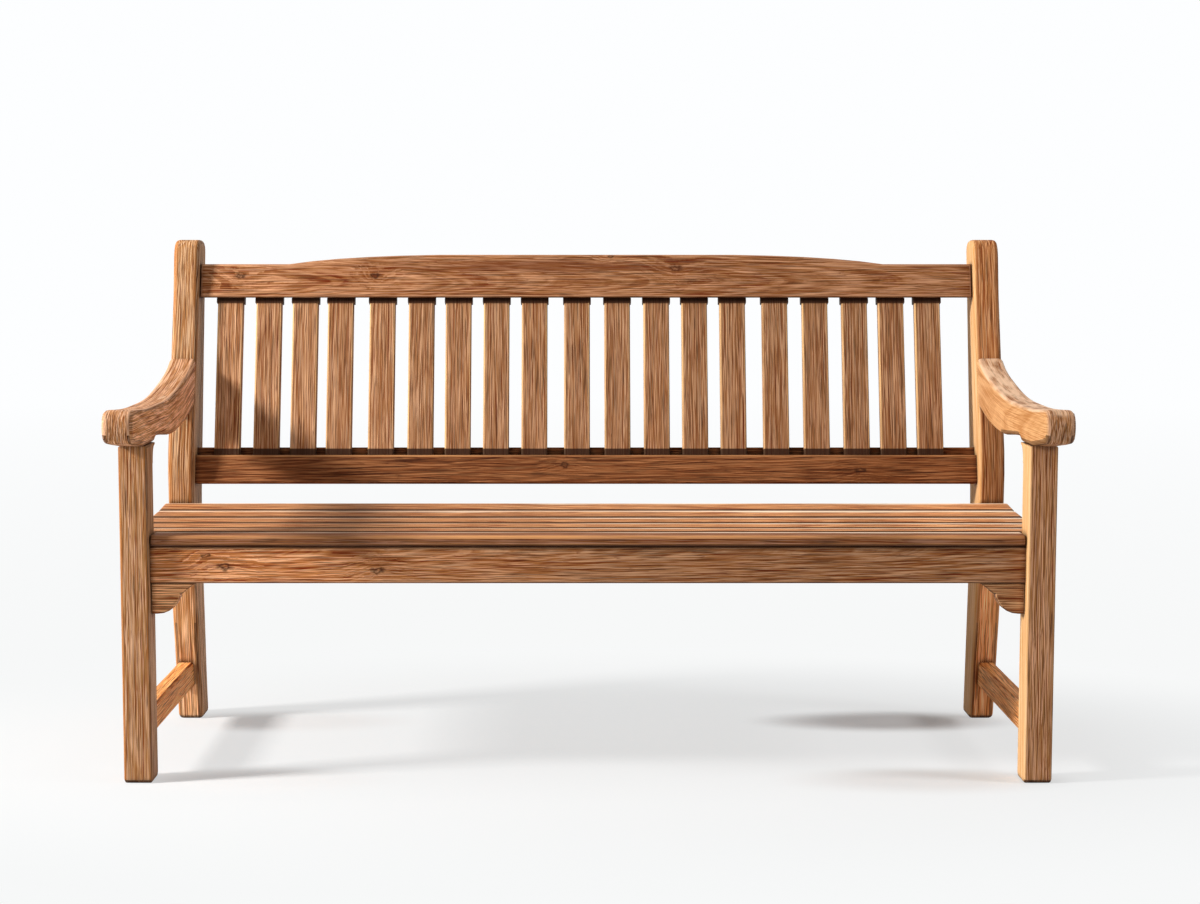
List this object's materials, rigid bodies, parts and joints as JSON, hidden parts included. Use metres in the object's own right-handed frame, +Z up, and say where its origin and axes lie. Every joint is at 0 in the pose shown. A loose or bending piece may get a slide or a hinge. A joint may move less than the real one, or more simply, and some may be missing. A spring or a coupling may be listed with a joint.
{
  "type": "garden bench",
  "caption": "Wooden garden bench with a reclined slatted back under an arched top rail, swept arms, a dished board seat and pegged mortise-and-tenon end frames.",
  "frame": {"origin": "on the ground, under the middle of the bench's bounding box", "axes": "+X along the seat, to the right when facing the front of the bench; +Y from the front of the seat to the back; +Z up"},
  "size_m": [1.546, 0.7322, 0.898],
  "materials": {
    "leg_wood": "oiled, worn hardwood",
    "rail_wood": "oiled, worn hardwood",
    "lower_rail_wood": "oiled, worn hardwood",
    "slat_wood": "oiled, worn hardwood",
    "seat_wood": "oiled, worn hardwood",
    "peg_wood": "oiled, worn hardwood"
  },
  "bodies": {
    "root": {"front_leg_left": "leg_wood", "back_leg_left": "leg_wood", "arm_left": "leg_wood", "seat_side_rail_left": "rail_wood", "side_stretcher_left": "rail_wood", "corner_bracket_left": "rail_wood", "seat_rail_peg_front_left": "peg_wood", "seat_rail_peg_back_left": "peg_wood", "stretcher_peg_front_left": "peg_wood", "stretcher_peg_back_left": "peg_wood", "apron_peg_left": "peg_wood", "rear_rail_peg_left": "peg_wood", "lower_rail_peg_left": "peg_wood", "top_rail_peg_left": "peg_wood", "seat_bearer_left": "rail_wood", "front_leg_right": "leg_wood", "back_leg_right": "leg_wood", "arm_right": "leg_wood", "seat_side_rail_right": "rail_wood", "side_stretcher_right": "rail_wood", "corner_bracket_right": "rail_wood", "seat_rail_peg_front_right": "peg_wood", "seat_rail_peg_back_right": "peg_wood", "stretcher_peg_front_right": "peg_wood", "stretcher_peg_back_right": "peg_wood", "apron_peg_right": "peg_wood", "rear_rail_peg_right": "peg_wood", "lower_rail_peg_right": "peg_wood", "top_rail_peg_right": "peg_wood", "seat_bearer_right": "rail_wood", "front_apron": "rail_wood", "seat_rear_rail": "rail_wood", "top_rail": "rail_wood", "lower_back_rail": "lower_rail_wood", "seat_nosing": "seat_wood", "seat_board_1": "seat_wood", "seat_board_2": "seat_wood", "seat_board_3": "seat_wood", "seat_board_4": "seat_wood", "seat_board_5": "seat_wood", "back_slat_01": "slat_wood", "back_slat_02": "slat_wood", "back_slat_03": "slat_wood", "back_slat_04": "slat_wood", "back_slat_05": "slat_wood", "back_slat_06": "slat_wood", "back_slat_07": "slat_wood", "back_slat_08": "slat_wood", "back_slat_09": "slat_wood", "back_slat_10": "slat_wood", "back_slat_11": "slat_wood", "back_slat_12": "slat_wood", "back_slat_13": "slat_wood", "back_slat_14": "slat_wood", "back_slat_15": "slat_wood", "back_slat_16": "slat_wood", "back_slat_17": "slat_wood", "back_slat_18": "slat_wood", "back_slat_19": "slat_wood"}
  },
  "joints": []
}
